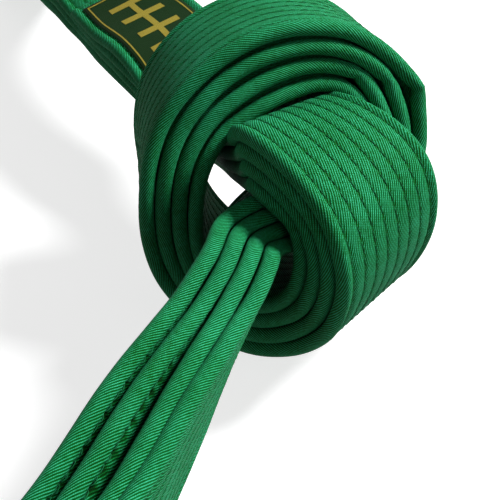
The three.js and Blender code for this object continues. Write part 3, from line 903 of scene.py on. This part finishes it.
def woven_material(name, ground, rib, pitch, roughness):
    """Damask weave: fine ribs across the label, each with its own speckle of yarn."""
    material = bpy.data.materials.new(name)
    material.use_nodes = True
    nodes, links, calc, blend, noise = node_maker(material)
    cloth = nodes.new("ShaderNodeUVMap")
    cloth.uv_map = "Cloth"
    split = nodes.new("ShaderNodeSeparateXYZ")
    links.new(cloth.outputs[0], split.inputs[0])
    spot = nodes.new("ShaderNodeTexCoord").outputs["Object"]

    def stripes(place, width):
        sine = calc("SINE", calc("MULTIPLY", place, 2 * math.pi / width))
        return calc("MULTIPLY_ADD", sine, 0.5, 0.5)

    ribs = stripes(split.outputs[0], pitch)
    yarns = stripes(split.outputs[1], pitch * 1.6)
    weave = calc("MULTIPLY", ribs, calc("MULTIPLY_ADD", yarns, 0.5, 0.5))
    speckle = noise(spot, 2400.0, 2.0)
    tone = calc("ADD", calc("MULTIPLY", weave, 0.6), calc("MULTIPLY", speckle, 0.4))
    shader = nodes["Principled BSDF"]
    links.new(blend(tone, (*ground, 1), (*rib, 1)), shader.inputs["Base Color"])
    shader.inputs["Roughness"].default_value = roughness
    shader.inputs["Specular IOR Level"].default_value = 0.12
    bump = nodes.new("ShaderNodeBump")
    bump.inputs["Distance"].default_value = 0.06 * MM
    links.new(weave, bump.inputs["Height"])
    links.new(bump.outputs[0], shader.inputs["Normal"])
    return material


def label_point(place, across, height):
    """Points on the outermost layer's face at a height over the label's foot."""
    point, _, side, outward = hank_frames(place)
    shift, lift = wander(place, 0)
    out = (LABEL_FOOT + height + lift)[:, None]
    return point + side * (across + shift)[:, None] + outward * out


def label_slab(name, rows, columns, filled, low, high, soft=0.0):
    """A closed slab of cells on the label: rows along the belt, columns across it."""
    place, across = np.meshgrid(rows, columns, indexing="ij")
    flat_place, flat_across = place.reshape(-1), across.reshape(-1)
    side_gap = np.minimum(LABEL_WIDTH / 2 - np.abs(flat_across),
                          np.minimum(flat_place - LABEL_START, LABEL_END - flat_place))
    droop = soft * np.exp(-np.clip(side_gap, 0, None) / LABEL_EDGE_ROUNDING)
    top = label_point(flat_place, flat_across, high - droop)
    bottom = label_point(flat_place, flat_across, np.full(len(flat_place), low))
    total, wide = len(flat_place), len(columns)
    faces = []

    def cell(i, j):
        return 0 <= i < len(rows) - 1 and 0 <= j < wide - 1 and filled(i, j)

    for i in range(len(rows) - 1):
        for j in range(wide - 1):
            if not cell(i, j):
                continue
            a, b, c, d = i * wide + j, i * wide + j + 1, (i + 1) * wide + j + 1, (i + 1) * wide + j
            faces.append([a, b, c, d])
            faces.append([total + d, total + c, total + b, total + a])
            sides = (a, b, i - 1, j), (b, c, i, j + 1), (c, d, i + 1, j), (d, a, i, j - 1)
            for p, q, beyond_i, beyond_j in sides:
                if not cell(beyond_i, beyond_j):
                    faces.append([q, p, total + p, total + q])
    mesh = bpy.data.meshes.new(name)
    mesh.from_pydata(np.vstack([top, bottom]).tolist(), [], faces)
    cloth_map = mesh.uv_layers.new(name="Cloth")
    metres = np.tile(np.stack([flat_place, flat_across], axis=1), (2, 1))
    loops = np.array([loop.vertex_index for loop in mesh.loops])
    cloth_map.data.foreach_set("uv", metres[loops].reshape(-1))
    mesh.update()
    piece = bpy.data.objects.new(name, mesh)
    bpy.context.collection.objects.link(piece)
    work = bmesh.new()
    work.from_mesh(mesh)
    bmesh.ops.delete(work, geom=[v for v in work.verts if not v.link_faces], context="VERTS")
    bmesh.ops.recalc_face_normals(work, faces=work.faces)
    work.to_mesh(mesh)
    work.free()
    return piece


def stops(low, high, gap, *extra):
    """Evenly spaced places from low to high that also include the extra ones."""
    places = list(np.linspace(low, high, max(2, int(round((high - low) / gap)) + 1)))
    for place in extra:
        nearest = min(range(1, len(places) - 1), key=lambda i: abs(places[i] - place))
        places[nearest] = place
    return np.array(sorted(places))


LABEL_CLOTH = woven_material("label_weave", ground=(0.0006, 0.010, 0.001), rib=(0.006, 0.036, 0.004),
                             pitch=0.34 * MM, roughness=0.7)
GOLD = woven_material("gold_weave", ground=(0.12, 0.09, 0.006), rib=(0.44, 0.36, 0.05),
                      pitch=0.30 * MM, roughness=0.55)

label = label_slab("label_patch", stops(LABEL_START, LABEL_END, 0.8 * MM),
                   stops(-LABEL_WIDTH / 2, LABEL_WIDTH / 2, 0.9 * MM), lambda i, j: True,
                   0.0, LABEL_THICK, soft=0.25 * MM)
label.data.materials.append(LABEL_CLOTH)
label.data.shade_smooth()
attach(label, "root")
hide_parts("label_patch")

# The gold thread starts a little inside the label's cloth and stands proud of it.
THREAD_ROOT = LABEL_THICK - 0.05 * MM
BORDER_TOP = LABEL_THICK + 0.12 * MM
MOTIF_TOP = LABEL_THICK + 0.14 * MM
BORDER_INSET, BORDER_WIDTH = 1.4 * MM, 0.55 * MM
border_out = LABEL_WIDTH / 2 - BORDER_INSET
border_in = border_out - BORDER_WIDTH
border_rows = stops(LABEL_START + BORDER_INSET, LABEL_END - BORDER_INSET, 0.55 * MM)
border_columns = stops(-border_out, border_out, 0.55 * MM, -border_in, border_in)
border = label_slab("label_border_stitch", border_rows, border_columns,
                    lambda i, j: i in (0, len(border_rows) - 2) or j in (0, len(border_columns) - 2),
                    THREAD_ROOT, BORDER_TOP)
border.data.materials.append(GOLD)
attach(border, "root")
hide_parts("label_border_stitch")

MOTIF_SPINE = 2.4 * MM
MOTIF_RUNGS, RUNG_LENGTH = 5, 3 * MM
MOTIF_END_GAP, MOTIF_SIDE_GAP = 9 * MM, 7 * MM
motif_start, motif_end = LABEL_START + MOTIF_END_GAP, LABEL_END - MOTIF_END_GAP
motif_half = LABEL_WIDTH / 2 - MOTIF_SIDE_GAP
motif_rows = np.arange(motif_start, motif_end + 0.5 * MM, 1 * MM)
motif_columns = stops(-motif_half, motif_half, 1.2 * MM, -MOTIF_SPINE / 2, MOTIF_SPINE / 2)


def motif_filled(i, j):
    """A plain ladder: a spine down the middle of the label with rungs across it."""
    across = (motif_columns[j] + motif_columns[j + 1]) / 2
    place = (motif_rows[i] + motif_rows[i + 1]) / 2 - motif_start
    rung_pitch = (motif_end - motif_start - RUNG_LENGTH) / (MOTIF_RUNGS - 1)
    return abs(across) < MOTIF_SPINE / 2 or place % rung_pitch < RUNG_LENGTH


motif = label_slab("label_motif", motif_rows, motif_columns, motif_filled, THREAD_ROOT, MOTIF_TOP)
motif.data.materials.append(GOLD)
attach(motif, "root")
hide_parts("label_motif")

# ---------------------------------------------------------------------------
# The floor and the light: a plain white table that glows a little of itself, a
# plain wall of the same white in a ring far behind, a soft light from above and
# the right, a weak fill, and an even pale sky.
# ---------------------------------------------------------------------------

FLOOR_REACH = 3.0
floor_corners = [(x * FLOOR_REACH, y * FLOOR_REACH, 0) for x, y in ((-1, -1), (1, -1), (1, 1), (-1, 1))]
floor_mesh = bpy.data.meshes.new("floor")
floor_mesh.from_pydata(floor_corners, [], [(0, 1, 2, 3)])
floor = bpy.data.objects.new("floor", floor_mesh)
bpy.context.collection.objects.link(floor)
paper = bpy.data.materials.new("white_table")
paper.use_nodes = True
table_top = paper.node_tree.nodes["Principled BSDF"]
table_top.inputs["Base Color"].default_value = (0.5, 0.5, 0.5, 1)
table_top.inputs["Roughness"].default_value = 0.9
table_top.inputs["Emission Color"].default_value = (1, 1, 1, 1)
table_top.inputs["Emission Strength"].default_value = 0.72
floor.data.materials.append(paper)
floor.visible_diffuse = False

WALL_SIDES, WALL_HEIGHT = 64, 2.6
turns = np.linspace(0, 2 * math.pi, WALL_SIDES, endpoint=False)
ring = [(FLOOR_REACH * math.cos(turn), FLOOR_REACH * math.sin(turn)) for turn in turns]
wall_points = [(x, y, height) for height in (0, WALL_HEIGHT) for x, y in ring]
wall_faces = []
for corner in range(WALL_SIDES):
    beside = (corner + 1) % WALL_SIDES
    wall_faces.append((corner, beside, WALL_SIDES + beside, WALL_SIDES + corner))
wall_mesh = bpy.data.meshes.new("backdrop")
wall_mesh.from_pydata(wall_points, [], wall_faces)
wall = bpy.data.objects.new("backdrop", wall_mesh)
bpy.context.collection.objects.link(wall)
wall.data.materials.append(paper)
wall.visible_diffuse = False
wall.visible_shadow = False


def soft_light(name, place, aim, size, power):
    """A round lamp of a size in metres and a power in watts, aimed at a point."""
    lamp = bpy.data.lights.new(name, "AREA")
    lamp.shape = "DISK"
    lamp.size = size
    lamp.energy = power
    lamp_object = bpy.data.objects.new(name, lamp)
    lamp_object.location = place
    lamp_object.rotation_euler = (Vector(aim) - Vector(place)).to_track_quat("-Z", "Y").to_euler()
    bpy.context.collection.objects.link(lamp_object)


KNOT_MIDDLE = (0.062, -0.050, 0.050)
SKY_STRENGTH = 0.17
soft_light("key", (0.63, 0.04, 0.72), KNOT_MIDDLE, size=0.24, power=14.8)
soft_light("fill", (0.60, -0.75, 0.35), KNOT_MIDDLE, size=0.8, power=1.4)

sky = bpy.data.worlds.new("studio")
sky.use_nodes = True
background = sky.node_tree.nodes["Background"]
background.inputs["Color"].default_value = (1, 1, 1, 1)
background.inputs["Strength"].default_value = SKY_STRENGTH
bpy.context.scene.world = sky
bpy.context.scene.view_settings.view_transform = "Standard"
